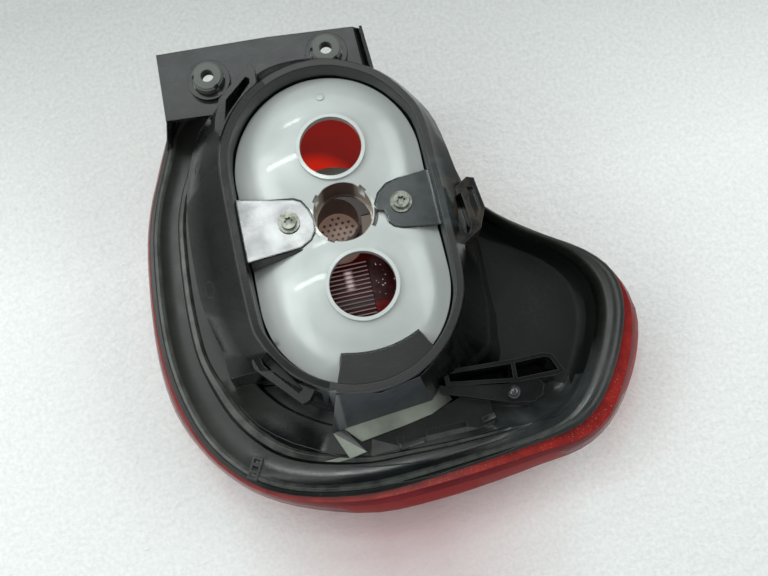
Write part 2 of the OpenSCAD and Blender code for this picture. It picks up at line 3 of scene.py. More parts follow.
import bpy
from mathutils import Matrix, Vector


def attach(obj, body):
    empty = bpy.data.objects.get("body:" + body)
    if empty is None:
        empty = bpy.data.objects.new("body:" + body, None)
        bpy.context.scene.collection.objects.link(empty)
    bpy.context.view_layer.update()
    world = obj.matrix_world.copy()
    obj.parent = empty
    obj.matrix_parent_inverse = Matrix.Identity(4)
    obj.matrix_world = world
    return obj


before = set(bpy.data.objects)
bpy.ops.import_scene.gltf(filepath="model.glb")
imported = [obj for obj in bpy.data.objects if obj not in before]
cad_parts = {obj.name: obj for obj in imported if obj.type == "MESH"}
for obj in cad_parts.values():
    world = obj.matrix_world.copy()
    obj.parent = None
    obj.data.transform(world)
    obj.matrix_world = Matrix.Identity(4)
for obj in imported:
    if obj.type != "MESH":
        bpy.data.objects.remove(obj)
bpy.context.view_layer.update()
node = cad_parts
bpy.ops.object.select_all(action="DESELECT")

# Camera: looks down on the open back of the lamp, a little from the left,
# as the photograph does. Its lens suits a picture 768 by 576.
camera_place = (-0.010567, -0.142653, 0.584934)
camera_tilt = math.radians(12)
camera_turn = math.radians(-12.5)
view = bpy.data.cameras.new("camera")
view.sensor_width = 36
view.lens = 46.875
camera = bpy.data.objects.new("camera", view)
camera.location = camera_place
camera.rotation_euler = (camera_tilt, 0, camera_turn)
bpy.context.collection.objects.link(camera)
bpy.context.scene.camera = camera
bpy.context.scene.view_settings.view_transform = "Standard"


# Floor: a sheet of white packing foam with a fine crumpled skin, painted darker towards the
# back as painted shade. The lamp lies on it and casts its shadow, and in front of the lens a
# painted pink patch stands for its shadow and the red light that comes through the lens.
# Far off it glows for the camera alone, so that it ends in white.
def new_material(name, color, roughness, sockets=None):
    material = bpy.data.materials.new(name)
    material.use_nodes = True
    shader = material.node_tree.nodes["Principled BSDF"]
    shader.inputs["Base Color"].default_value = (*color, 1)
    shader.inputs["Roughness"].default_value = roughness
    for key, value in (sockets or {}).items():
        shader.inputs[key].default_value = value
    return material, material.node_tree, shader


def add(tree, kind, inputs=None, **settings):
    made = tree.nodes.new(kind)
    for key, value in settings.items():
        setattr(made, key, value)
    for key, value in (inputs or {}).items():
        if isinstance(value, bpy.types.NodeSocket):
            tree.links.new(value, made.inputs[key])
        else:
            made.inputs[key].default_value = value
    return made


def place(tree, axis=None):
    spot = add(tree, "ShaderNodeTexCoord").outputs["Object"]
    if axis is None:
        return spot
    return add(tree, "ShaderNodeSeparateXYZ", {"Vector": spot}).outputs[axis]


def noise(tree, scale, detail, stretch=(1, 1, 1)):
    spread = add(tree, "ShaderNodeMapping", {"Vector": place(tree), "Scale": stretch})
    return add(tree, "ShaderNodeTexNoise", {"Vector": spread.outputs["Vector"],
        "Scale": scale, "Detail": detail, "Roughness": 0.55}).outputs["Fac"]


def ramp(tree, value, low, high, start=0.0, end=1.0):
    return add(tree, "ShaderNodeMapRange", {"Value": value, "From Min": low, "From Max": high,
        "To Min": start, "To Max": end}).outputs["Result"]


def patches(tree, scale, detail, low, high, start=0.0, end=1.0, stretch=(1, 1, 1)):
    return ramp(tree, noise(tree, scale, detail, stretch), low, high, start, end)


def blend(tree, share, first, second):
    colors = [(*color, 1) if isinstance(color, tuple) else color for color in (first, second)]
    made = add(tree, "ShaderNodeMix", {0: share, 6: colors[0], 7: colors[1]}, data_type="RGBA")
    return made.outputs[2]


def bump(tree, height, strength, depth, normal=None):
    inputs = {"Height": height, "Strength": strength, "Distance": depth}
    if normal is not None:
        inputs["Normal"] = normal
    return add(tree, "ShaderNodeBump", inputs).outputs["Normal"]


def maths(tree, operation, *values):
    return add(tree, "ShaderNodeMath", dict(enumerate(values)), operation=operation).outputs[0]


def times(tree, first, second):
    return maths(tree, "MULTIPLY", first, second)


def measure(tree, operation, *places):
    made = add(tree, "ShaderNodeVectorMath", dict(enumerate(places)), operation=operation)
    return made.outputs["Value"]


def within(tree, low, high, soft=0.0015):
    spot = add(tree, "ShaderNodeSeparateXYZ", {"Vector": place(tree)})
    share = None
    for axis, near, far in zip("XYZ", low, high):
        for edge, sign in ((near, 1), (far, -1)):
            if edge is not None:
                step = ramp(tree, spot.outputs[axis], edge - sign * soft, edge + sign * soft)
                share = step if share is None else times(tree, share, step)
    return share


floor_size = 6
floor_gap = 0.0002
painted_red_shadow_box = (-0.06, -0.215, None), (0.06, -0.1, None)
bpy.ops.mesh.primitive_plane_add(size=floor_size, location=(0, 0, -floor_gap))
floor = bpy.context.object
floor.name = "floor"
foam, tree, shader = new_material("white_foam", (0.80, 0.81, 0.80), 0.7)
# Painted shade: the foam is painted darker towards the back.
painted_falloff = ramp(tree, place(tree, "Y"), 0.02, 0.2)
crests = blend(tree, painted_falloff, (0.95, 0.96, 0.955), (0.54, 0.55, 0.54))
dips = blend(tree, painted_falloff, (0.83, 0.84, 0.835), (0.455, 0.465, 0.455))
skin = blend(tree, patches(tree, 420, 4, 0.3, 0.7), dips, crests)
# Painted shadow and painted red light: the floor is tinted a darker pink in front of the lens.
painted_red_shadow = times(tree, within(tree, *painted_red_shadow_box, soft=0.045), 0.9)
tree.links.new(blend(tree, painted_red_shadow, skin, (0.62, 0.47, 0.48)), shader.inputs["Base Color"])
cells = bump(tree, noise(tree, 420, 4), 0.3, 0.0016)
creases = bump(tree, noise(tree, 90, 6, (1, 1.8, 1)), 0.45, 0.004, cells)
tree.links.new(creases, shader.inputs["Normal"])
distance = measure(tree, "LENGTH", place(tree))
seen = add(tree, "ShaderNodeLightPath").outputs["Is Camera Ray"]
tree.links.new(times(tree, ramp(tree, distance, 0.5, 1.7, 0, 0.85), seen),
    shader.inputs["Emission Strength"])
shader.inputs["Emission Color"].default_value = (1, 1, 1, 1)
floor.data.materials.append(foam)

# Light: an even pale room with wide soft lamps under its ceiling. The small panel
# beyond the fixing plate shines in the tabs of the housing, and the two narrow tubes
# give the streaks on the domes of the reflector.
room_light = 0.2
room_seen = 1.0
ceiling = 0.96
low_ceiling = 0.955
lamp_color = (0.94, 1.0, 0.985)
world = bpy.data.worlds.new("room")
world.use_nodes = True
bpy.context.scene.world = world
tree = world.node_tree
sky = tree.nodes["Background"]
sky.inputs["Color"].default_value = (1, 1, 1, 1)
rays = add(tree, "ShaderNodeLightPath")
tree.links.new(ramp(tree, rays.outputs["Is Camera Ray"], 0, 1, room_light, room_seen),
    sky.inputs["Strength"])


def soft_lamp(name, x, y, height, width, length, radiance):
    lamp = bpy.data.lights.new(name, "AREA")
    lamp.shape = "RECTANGLE"
    lamp.size = width
    lamp.size_y = length
    lamp.energy = radiance * math.pi * width * length
    lamp.color = lamp_color
    made = bpy.data.objects.new(name, lamp)
    made.location = (x, y, height)
    made.visible_camera = False
    bpy.context.collection.objects.link(made)


soft_lamp("back_strip", -0.05, 0.53, ceiling, 0.66, 0.2, 2.9)
soft_lamp("back_lamp", 0, 1.15, ceiling, 1.7, 0.6, 0.9)
soft_lamp("left_lamp", -1.1, -0.1, ceiling, 0.9, 1.4, 2.8)
soft_lamp("right_lamp", 1.1, 0.0, ceiling, 0.9, 1.4, 2.6)
soft_lamp("front_lamp", 0, -0.95, ceiling, 1.4, 0.8, 0.35)
soft_lamp("overhead_panel", -0.18, 0.03, ceiling, 0.64, 0.62, 0.9)
soft_lamp("tab_panel", -0.06, 0.255, low_ceiling, 0.14, 0.13, 13.5)
soft_lamp("long_tube", -0.58, 0.36, low_ceiling, 0.44, 0.06, 20.0)
soft_lamp("short_tube", -0.38, 0.89, low_ceiling, 0.22, 0.07, 18.0)


# Housing: one black plastic moulding with the flange, collar, skirt, pocket, tabs, clip
# loops and fixing plate. It is glossy where the mould was polished, and it has fine dust,
# brown dirt in the right clip loop and scratches. Its edges and flange ridge carry pale
# painted highlights, its tabs a painted sheen, its ramp edge a painted highlight, and its
# sill and flange foot painted reflections.
weld_reach = 0.00001
crease_angle = math.radians(32)
flange_box = (None, None, 0.0455), (None, None, 0.058)
flange_front_box = (-0.075, None, 0.04), (0.11, -0.088, 0.06)
flange_ridge_box = (None, None, 0.0514), (None, None, 0.0526)
collar_rim_box = (None, None, 0.1085), (None, None, None)
left_tab_box = (-0.056, -0.02, 0.1), (-0.016, 0.014, None)
right_tab_box = (0.014, -0.02, 0.1), (0.056, 0.016, None)
lower_tab_box = (-0.01, -0.072, 0.1), (0.05, -0.04, None)
right_loop_box = (0.052, -0.031, 0.06), (0.0735, 0.006, None)
painted_reflection_foot_box = (0.052, -0.13, 0.024), (0.135, -0.088, 0.0495)
ramp_edge_highlight_box = (-0.0255, None, None), (-0.0212, None, None)


def dress(name, *finishes):
    piece = node[name]
    piece.data.materials.clear()
    for finish in finishes:
        piece.data.materials.append(finish)
    for face in piece.data.polygons:
        face.use_smooth = True
    weld = piece.modifiers.new("weld", "WELD")
    weld.merge_threshold = weld_reach
    split = piece.modifiers.new("edges", "EDGE_SPLIT")
    split.split_angle = crease_angle


def rounded(tree, radius, samples=4):
    return add(tree, "ShaderNodeBevel", {"Radius": radius}, samples=samples).outputs["Normal"]


def moulded_skin(tree):
    grain = bump(tree, noise(tree, 700, 3), 0.03, 0.0004, rounded(tree, 0.0006))
    return bump(tree, noise(tree, 40, 3), 0.05, 0.0012, grain)


def plastic(name, dark, roughness, level):
    material, tree, shader = new_material(name, dark, roughness, {"Specular IOR Level": level})
    uneven = patches(tree, 90, 5, 0.3, 0.7, roughness - 0.04, roughness + 0.08)
    tree.links.new(uneven, shader.inputs["Roughness"])
    tree.links.new(moulded_skin(tree), shader.inputs["Normal"])
    return material, tree, shader


def dusted(tree, dark, dust_and_painted_reflection):
    dust = times(tree, patches(tree, 30, 6, 0.46, 0.8), patches(tree, 900, 2, 0.4, 0.75))
    return blend(tree, dust, dark, dust_and_painted_reflection)


def dusty_plastic(name, dark, dust_and_painted_reflection, roughness, level):
    material, tree, shader = plastic(name, dark, roughness, level)
    tree.links.new(dusted(tree, dark, dust_and_painted_reflection), shader.inputs["Base Color"])
    return material


# Painted highlights: pale lines on the convex edges, found from the turn of the rounded normal,
# patchy along their length.
def painted_edge_highlights(tree, finish, pale, radius=0.0007):
    plane = add(tree, "ShaderNodeNewGeometry").outputs["Normal"]
    turn = measure(tree, "DOT_PRODUCT", rounded(tree, radius, 6), plane)
    edge_highlight = times(tree, ramp(tree, turn, 0.985, 0.85),
        patches(tree, 160, 5, 0.3, 0.7, 0.45, 0.9))
    return blend(tree, edge_highlight, finish, pale)


def black_plastic():
    material, tree, shader = new_material("black_plastic", (0.0022, 0.0026, 0.0026), 0.2,
        {"Specular IOR Level": 0.5})
    tree.links.new(moulded_skin(tree), shader.inputs["Normal"])
    front = within(tree, *flange_front_box, soft=0.006)
    satin = times(tree, within(tree, *flange_box), ramp(tree, front, 0, 1, 1, 0))
    rim = within(tree, *collar_rim_box, soft=0.0004)
    dull = maths(tree, "MAXIMUM", satin, rim)
    left_tab = within(tree, *left_tab_box)
    right_tab = within(tree, *right_tab_box)
    side_tabs = maths(tree, "MAXIMUM", left_tab, right_tab)
    tabs = maths(tree, "MAXIMUM", side_tabs, within(tree, *lower_tab_box))
    gloss = maths(tree, "SUBTRACT", ramp(tree, dull, 0, 1, 0.18, 0.34),
        ramp(tree, tabs, 0, 1, 0, 0.07))
    uneven = patches(tree, 90, 5, 0.3, 0.7, -0.03, 0.06)
    tree.links.new(maths(tree, "ADD", gloss, uneven), shader.inputs["Roughness"])
    plain = dusted(tree, (0.0022, 0.0034, 0.0036), (0.02, 0.022, 0.02))
    olive = blend(tree, patches(tree, 45, 5, 0.3, 0.7), (0.008, 0.0088, 0.0072),
        (0.017, 0.0175, 0.0145))
    finish = blend(tree, dull, plain, blend(tree, rim, olive, (0.011, 0.0115, 0.010)))
    # Painted highlight: the flange ridge is lightened with pale grey, paler on the left side.
    painted_ridge_highlight = times(tree, within(tree, *flange_ridge_box, soft=0.0002),
        patches(tree, 120, 5, 0.35, 0.6, 0.3, 1.0))
    painted_ridge_highlight = times(tree, painted_ridge_highlight, within(tree, (None, None, None), (0.1, None, None), 0.01))
    highlight_left_side = within(tree, (None, None, None), (-0.06, None, None), 0.01)
    pale = blend(tree, highlight_left_side, (0.05, 0.055, 0.048), (0.085, 0.09, 0.082))
    finish = blend(tree, painted_ridge_highlight, finish, pale)
    # Painted sheen: a bluish streaked reflection painted across the right tab.
    painted_sheen = times(tree, right_tab, patches(tree, 40, 5, 0.3, 0.65, stretch=(1, 3, 1)))
    finish = blend(tree, painted_sheen, finish, (0.03, 0.042, 0.046))
    hair = noise(tree, 110, 6, (1, 12, 1))
    scratch = times(tree, ramp(tree, hair, 0.6, 0.625), ramp(tree, hair, 0.64, 0.665, 1, 0))
    finish = blend(tree, times(tree, scratch, 0.3), finish, (0.045, 0.05, 0.05))
    dirt = times(tree, within(tree, *right_loop_box), patches(tree, 110, 5, 0.42, 0.62))
    finish = blend(tree, dirt, finish, (0.035, 0.028, 0.019))
    # Painted reflection: pale grey streaks on the front of the flange foot stand for reflected
    # light.
    painted_foot_streaks = times(tree, within(tree, *painted_reflection_foot_box, soft=0.006),
        patches(tree, 45, 6, 0.3, 0.7, 0.3, 1.0, (1, 1, 2)))
    finish = blend(tree, painted_foot_streaks, finish, (0.10, 0.108, 0.108))
    tree.links.new(painted_edge_highlights(tree, finish, (0.065, 0.07, 0.065)),
        shader.inputs["Base Color"])
    return material


def deep_black_plastic():
    material, tree, shader = plastic("deep_black_plastic", (0.0025, 0.0028, 0.0028), 0.26, 0.22)
    finish = blend(tree, patches(tree, 60, 6, 0.45, 0.75), (0.004, 0.0046, 0.0046),
        (0.012, 0.0125, 0.0115))
    tree.links.new(painted_edge_highlights(tree, finish, (0.075, 0.08, 0.074)),
        shader.inputs["Base Color"])
    return material


# Sill: its pale grey is a painted reflection, and it darkens to near black towards its right
# end in painted shade.
def painted_reflection_sill():
    material, tree, shader = plastic("painted_reflection_sill", (0.22, 0.235, 0.195), 0.45, 0.5)
    pale = blend(tree, patches(tree, 60, 5, 0.3, 0.7), (0.17, 0.185, 0.15), (0.31, 0.33, 0.28))
    shaded = ramp(tree, place(tree, "X"), 0.021, 0.034)
    tree.links.new(blend(tree, shaded, pale, (0.012, 0.013, 0.012)),
        shader.inputs["Base Color"])
    return material


def bluish_ramp():
    material, tree, shader = plastic("bluish_ramp", (0.03, 0.036, 0.04), 0.4, 0.5)
    bluish_patches = blend(tree, patches(tree, 70, 6, 0.4, 0.7), (0.026, 0.034, 0.044),
        (0.045, 0.054, 0.064))
    # Painted highlight: a pale strip down the left edge of the ramp, on a ramp of lighter
    # bluish grey patches.
    finish = blend(tree, within(tree, *ramp_edge_highlight_box, soft=0.0006), bluish_patches,
        (0.15, 0.16, 0.165))
    tree.links.new(painted_edge_highlights(tree, finish, (0.16, 0.17, 0.17), 0.001),
        shader.inputs["Base Color"])
    return material


def polished_tab():
    roughness = 0.12
    material, tree, shader = new_material("polished_tab", (0.012, 0.016, 0.017), roughness,
        {"Specular IOR Level": 0.82})
    uneven = patches(tree, 90, 5, 0.3, 0.7, roughness - 0.04, roughness + 0.08)
    tree.links.new(uneven, shader.inputs["Roughness"])
    tree.links.new(bump(tree, noise(tree, 28, 3, (1, 2, 1)), 0.06, 0.003,
        rounded(tree, 0.0009)), shader.inputs["Normal"])
    # Painted sheen: the tabs get a lighter bluish grey than the rest of the black moulding.
    tree.links.new(blend(tree, patches(tree, 50, 4, 0.35, 0.65), (0.010, 0.016, 0.018),
        (0.04, 0.05, 0.052)), shader.inputs["Base Color"])
    return material


black = black_plastic()
deep = deep_black_plastic()
dust_and_painted_reflection = painted_reflection_sill()
bluish_ramp_finish = bluish_ramp()
pocket = dusty_plastic("pocket_black_plastic", (0.013, 0.014, 0.0137), (0.035, 0.036, 0.034),
    0.45, 0.2)
polished = polished_tab()
housing_finishes = [black, deep, dust_and_painted_reflection, bluish_ramp_finish, pocket, polished]
dress("housing", *housing_finishes)

skirt_box = (None, None, 0.0555), (-0.045, None, 0.1087)
left_rim_box = (None, None, 0.1092), (-0.025, None, None)
shelf_box = (-0.02, -0.115, 0.05), (0.07, -0.08, 0.058)
bracket_box = (0.03, -0.12, 0.056), (0.095, -0.082, None)
pocket_box = (0.035, -0.1, None), (None, None, 0.041)
side_tab_box = (0.014, -0.022, 0.0995), (0.056, 0.018, 0.101)
ramp_box = (-0.03, None, 0.06), (0.02, -0.084, 0.109)
sill_box = (-0.032, -0.118, 0.0512), (0.046, -0.096, 0.06)


def lies_in(point, low, high):
    return all((near is None or value > near) and (far is None or value < far)
        for value, near, far in zip(point, low, high))


def housing_finish(center, normal):
    up = normal.z
    either_side = (abs(center.x), center.y, center.z)
    if lies_in(center, *sill_box) and 0.85 < up < 0.975:
        return dust_and_painted_reflection
    if lies_in(center, *ramp_box) and normal.y < -0.8:
        return bluish_ramp_finish
    if lies_in(either_side, *side_tab_box) and up > 0.9:
        return polished
    if lies_in(center, *pocket_box) and up > -0.2:
        return pocket
    skirt = lies_in(center, *skirt_box) and normal.x < -0.3
    left_rim = lies_in(center, *left_rim_box) and up > 0.9
    shelf = lies_in(center, *shelf_box) and up > 0.975
    if skirt or left_rim or shelf or lies_in(center, *bracket_box):
        return deep
    return black


for face in node["housing"].data.polygons:
    face.material_index = housing_finishes.index(housing_finish(face.center, face.normal))


# Lens: one red transparent moulding, cemented to the rim of the flange all round. The
# lamp lies on its flat middle. Crumbs of adhesive show along the joint at the front, and its
# top face is painted a lighter red as a painted highlight from above. Its inside, seen through
# the lamp holes, has a painted glow that stands for the light that comes through the lens.
def red_plastic(name, level, roughness, clearness, bending=1.49):
    material, tree, shader = new_material(name, (0.2, 0.006, 0.008), roughness,
        {"Specular IOR Level": level, "Transmission Weight": clearness, "IOR": bending})
    clear = add(tree, "ShaderNodeBsdfTransparent", {"Color": (0.95, 0.06, 0.05, 1)})
    lit = times(tree, add(tree, "ShaderNodeLightPath").outputs["Is Shadow Ray"], 0.9)
    mixed = add(tree, "ShaderNodeMixShader",
        {0: lit, 1: shader.outputs[0], 2: clear.outputs[0]})
    tree.links.new(mixed.outputs[0], tree.nodes["Material Output"].inputs["Surface"])
    return material, tree, shader


def red_lens_side():
    material, tree, shader = red_plastic("red_lens_side", 0.5, 0.2, 0.1, 1.18)
    tree.links.new(blend(tree, patches(tree, 45, 4, 0.35, 0.7), (0.15, 0.009, 0.013),
        (0.23, 0.013, 0.018)), shader.inputs["Base Color"])
    return material


def red_lens_joint():
    crumb_box = (-0.01, None, None), (None, -0.1, None)
    bead_box = (-0.014, -0.1465, None), (0.032, -0.139, None)
    material, tree, shader = red_plastic("red_lens_joint", 0.4, 0.2, 0.1)
    crumbs = times(tree, within(tree, *crumb_box, soft=0.006),
        patches(tree, 900, 5, 0.62, 0.67))
    bead = times(tree, within(tree, *bead_box, soft=0.002),
        patches(tree, 2200, 3, 0.56, 0.66, 0, 0.45))
    # Painted highlight: the top face is a brighter red than the sides, as if lit from above.
    rim = blend(tree, patches(tree, 120, 5, 0.35, 0.65), (0.2, 0.010, 0.010),
        (0.34, 0.018, 0.014))
    tree.links.new(blend(tree, maths(tree, "MAXIMUM", crumbs, bead), rim, (0.3, 0.19, 0.1)),
        shader.inputs["Base Color"])
    return material


def red_lens_inside():
    glow_middle = (-0.012, 0.040, 0.005)
    glow_edge = 0.0302
    glow_core = 0.0228
    upper_box = (None, 0.032, None), (None, None, None)
    painted_glow_behind_optic_box = (0.004, 0.006, None), (0.03, 0.032, None)
    material, tree, shader = red_plastic("red_lens_inside", 0.1, 0.45, 0.1)
    # Painted glow: bright red with an emission round the glow middle, and beige with a faint
    # emission behind the optic, where the lit floor would show through.
    away = measure(tree, "DISTANCE", place(tree), glow_middle)
    upper = within(tree, *upper_box)
    painted_glow = times(tree, ramp(tree, away, glow_edge, glow_core), upper)
    painted_glow_behind = within(tree, *painted_glow_behind_optic_box)
    red = blend(tree, painted_glow, (0.85, 0.035, 0.03), (1.0, 0.09, 0.045))
    shaded = blend(tree, painted_glow_behind, (0.30, 0.012, 0.012), (0.42, 0.36, 0.32))
    tree.links.new(blend(tree, upper, shaded, red), shader.inputs["Base Color"])
    bright = blend(tree, painted_glow, (0.085, 0.011, 0.009), (0.42, 0.014, 0.006))
    dim = blend(tree, painted_glow_behind, (0.004, 0.0005, 0.0005), (0.13, 0.12, 0.105))
    tree.links.new(blend(tree, upper, dim, bright), shader.inputs["Emission Color"])
    shader.inputs["Emission Strength"].default_value = 1.0
    return material


joint_height = 0.0445
inside_height = 0.04
dress("lens", red_lens_side(), red_lens_joint(), red_lens_inside())
for face in node["lens"].data.polygons:
    if face.center.z > joint_height and face.normal.z > 0.9:
        face.material_index = 1
    elif face.center.z < inside_height and face.normal.z > 0.3:
        face.material_index = 2


# Reflector: one plastic moulding with a satin metal coat, two domes with a round hole
# for a lamp each, and a sleeve for the middle lamp between them. The coat is painted lighter
# low on the domes and at their lower left, as painted light. The sleeve is bare inside,
# brown in the middle and beige at its flanks.
def satin_metal_coat():
    painted_light_lower_left_box = (None, None, None), (-0.042, 0.03, None)
    material, tree, shader = new_material("satin_metal_coat", (0.66, 0.70, 0.68), 0.3,
        {"Metallic": 0.12, "Specular IOR Level": 0.5, "Coat Weight": 0.42,
            "Coat Roughness": 0.07})
    height = place(tree, "Z")
    coat = blend(tree, patches(tree, 26, 5, 0.35, 0.7), (0.47, 0.50, 0.487),
        (0.55, 0.585, 0.567))
    # Painted light: the coat is lighter low on the domes towards the collar, and lighter still
    # at the lower left.
    coat = blend(tree, ramp(tree, height, 0.101, 0.093), coat, (0.79, 0.83, 0.81))
    coat = blend(tree, within(tree, *painted_light_lower_left_box, soft=0.008), coat, (0.88, 0.91, 0.895))
    flat = add(tree, "ShaderNodeVectorMath", {0: place(tree), 1: (1, 1, 0)},
        operation="MULTIPLY").outputs[0]
    from_axis = measure(tree, "LENGTH", flat)
    sleeve = times(tree, ramp(tree, from_axis, 0.0152, 0.0156, 1, 0),
        ramp(tree, height, 0.1035, 0.1042, 1, 0))
    flank = maths(tree, "ABSOLUTE", place(tree, "X"))
    bare = blend(tree, ramp(tree, flank, 0.0075, 0.0095), (0.11, 0.07, 0.06),
        (0.46, 0.41, 0.35))
    tree.links.new(blend(tree, sleeve, coat, bare), shader.inputs["Base Color"])
    tree.links.new(patches(tree, 90, 4, 0.3, 0.7, 0.3, 0.42), shader.inputs["Roughness"])
    tree.links.new(rounded(tree, 0.0005), shader.inputs["Normal"])
    return material


silver = satin_metal_coat()
dress("reflector", silver)

# Reflector screws: two steel screws with a wide flange head and a star recess, plated
# with dull zinc. They hold the left and right tab of the housing on the reflector.
zinc, tree, shader = new_material("zinc_plate", (0.3, 0.31, 0.27), 0.4, {"Metallic": 0.85})
tree.links.new(blend(tree, patches(tree, 300, 4, 0.35, 0.65), (0.12, 0.125, 0.1),
    (0.34, 0.35, 0.31)), shader.inputs["Base Color"])
dress("left_reflector_screw", zinc)
dress("right_reflector_screw", zinc)

# Fixing bushes: two sleeves of grey rubber, pressed into their seats on the fixing
# plate. A bolt that fixes the lamp goes through each.
rubber = dusty_plastic("grey_rubber", (0.11, 0.118, 0.11), (0.24, 0.25, 0.235), 0.55, 0.4)
dress("left_fixing_bush", rubber)
dress("right_fixing_bush", rubber)

# Locating stud: a black plastic pin with a polished round head, pressed into the bar
# beside the pocket.
dress("locating_stud", dusty_plastic("stud_plastic", (0.02, 0.022, 0.024),
    (0.08, 0.08, 0.08), 0.12, 0.8))


# Optics: three mouldings that stand on the inside of the lens and show through the
# holes of the reflector. The beige one is a dotted cup in the middle, with painted shade in
# its dots and a painted glow on its floor. The ribbed one, with painted highlights on its
# crests, a painted glint and a painted reflection band, and the dark red one with small
# cells, a painted lit patch and painted glints are side by side in the lower hole.
def beige_optic():
    dot_box = (None, None, 0.0185), (None, None, 0.0199)
    brim_box = (None, None, 0.0205), (None, 0.029, None)
    brim_sides = (-0.02, None, None), (0.02, None, None)
    back_box = (None, 0.03, 0.045), (None, None, None)
    cup_box = (None, None, None), (None, None, 0.0205)
    material, tree, shader = new_material("beige_optic", (0.42, 0.30, 0.24), 0.35)
    # Painted shade: the pits of the dots are painted dark brown.
    dots = within(tree, *dot_box, soft=0.0001)
    brim = times(tree, within(tree, *brim_box, soft=0.0003), within(tree, *brim_sides))
    plate = blend(tree, patches(tree, 80, 3, 0.35, 0.7), (0.66, 0.44, 0.34),
        (0.82, 0.58, 0.46))
    plate = blend(tree, brim, plate, (0.10, 0.065, 0.055))
    plate = blend(tree, within(tree, *back_box), plate, (0.62, 0.62, 0.54))
    tree.links.new(blend(tree, dots, plate, (0.18, 0.07, 0.055)), shader.inputs["Base Color"])
    # Painted glow: the cup floor gives off a faint beige light, less in its pits.
    painted_glow_through = times(tree, within(tree, *cup_box, soft=0.0003),
        blend(tree, dots, (1, 1, 1), (0.2, 0.2, 0.2)))
    tree.links.new(times(tree, painted_glow_through, 0.2), shader.inputs["Emission Strength"])
    shader.inputs["Emission Color"].default_value = (0.5, 0.33, 0.26, 1)
    return material


def ribbed_optic():
    front_edge = 0.047
    ribs_per_metre = 384.6
    painted_glint_box = (-0.0050, -0.0200, 0.0070), (-0.0010, -0.0080, None)
    painted_reflection_band_box = (None, -0.0315, None), (None, -0.0255, None)
    material, tree, shader = new_material("ribbed_optic", (0.5, 0.36, 0.33), 0.3,
        {"Transmission Weight": 0.1, "Specular IOR Level": 0.15})
    # Painted highlights: pale pink lines on the crests of the ribs, with a faint emission.
    count = times(tree, maths(tree, "ADD", place(tree, "Y"), front_edge), ribs_per_metre)
    thin = ramp(tree, maths(tree, "FRACT", count), 0.42, 0.34)
    painted_crest_highlight = times(tree, thin, ramp(tree, place(tree, "Z"), 0.0068, 0.0074))
    painted_rib_lines = blend(tree, painted_crest_highlight, (0.17, 0.014, 0.018), (0.95, 0.62, 0.62))
    # Painted glint: a white patch with an emission on the ribs.
    painted_glint = within(tree, *painted_glint_box, soft=0.0012)
    painted_rib_lines = blend(tree, painted_glint, painted_rib_lines, (1.0, 1.0, 1.0))
    # Painted reflection: a greyish band across the ribs near their lower end.
    painted_reflection_band = within(tree, *painted_reflection_band_box, soft=0.0008)
    tree.links.new(blend(tree, painted_reflection_band, painted_rib_lines, (0.20, 0.15, 0.16)), shader.inputs["Base Color"])
    tree.links.new(maths(tree, "MAXIMUM", times(tree, painted_glint, 0.5), times(tree, painted_crest_highlight, 0.13)),
        shader.inputs["Emission Strength"])
    tree.links.new(blend(tree, painted_glint, (1.0, 0.62, 0.62), (1, 1, 1)),
        shader.inputs["Emission Color"])
    return material


def reflex_cells():
    painted_light_box = (0.002, -0.046, None), (0.02, -0.03, None)
    painted_sparkle_box = (0.006, -0.026, None), (0.024, -0.006, None)
    material, tree, shader = new_material("reflex_cells", (0.22, 0.02, 0.02), 0.25,
        {"Transmission Weight": 0.1, "Specular IOR Level": 0.15})
    dark = blend(tree, patches(tree, 160, 3, 0.4, 0.7), (0.13, 0.010, 0.013),
        (0.24, 0.016, 0.02))
    # Painted light: a bright red patch at the lower end of the cells.
    tree.links.new(blend(tree, within(tree, *painted_light_box, soft=0.003), dark, (0.9, 0.035, 0.03)),
        shader.inputs["Base Color"])
    # Painted glints: sparse white dots with an emission.
    painted_sparkles = times(tree, within(tree, *painted_sparkle_box, soft=0.002),
        patches(tree, 520, 1, 0.7, 0.73))
    tree.links.new(times(tree, painted_sparkles, 0.7), shader.inputs["Emission Strength"])
    shader.inputs["Emission Color"].default_value = (1, 0.95, 0.93, 1)
    return material


dress("indicator_optic", beige_optic())
dress("reversing_optic", ribbed_optic())
dress("reflex_optic", reflex_cells())

# Reflector pip: a small round boss with a soft edge, moulded on the upper edge of the
# reflector and coated with it.
pip_radius = 0.0021
pip_depth = 0.0016
pip_place = (0.0011, 0.0625, 0.1021)
pip_lean = -0.294
bpy.ops.mesh.primitive_cylinder_add(vertices=40, radius=pip_radius, depth=pip_depth,
    location=pip_place, rotation=(pip_lean, 0, 0))
pip = bpy.context.object
pip.name = "reflector_pip"


def settle(piece, material):
    piece.data.materials.append(material)
    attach(piece, "root")
    bpy.ops.object.select_all(action="DESELECT")


def finish_piece(piece, material, rounding=0.0002, segments=2):
    bpy.ops.object.transform_apply(location=True, rotation=True, scale=True)
    cut = piece.modifiers.new("rounding", "BEVEL")
    cut.width = rounding
    cut.segments = segments
    cut.limit_method = "ANGLE"
    bpy.ops.object.modifier_apply(modifier=cut.name)
    bpy.ops.object.shade_smooth_by_angle(angle=math.radians(40))
    settle(piece, material)


finish_piece(pip, silver)

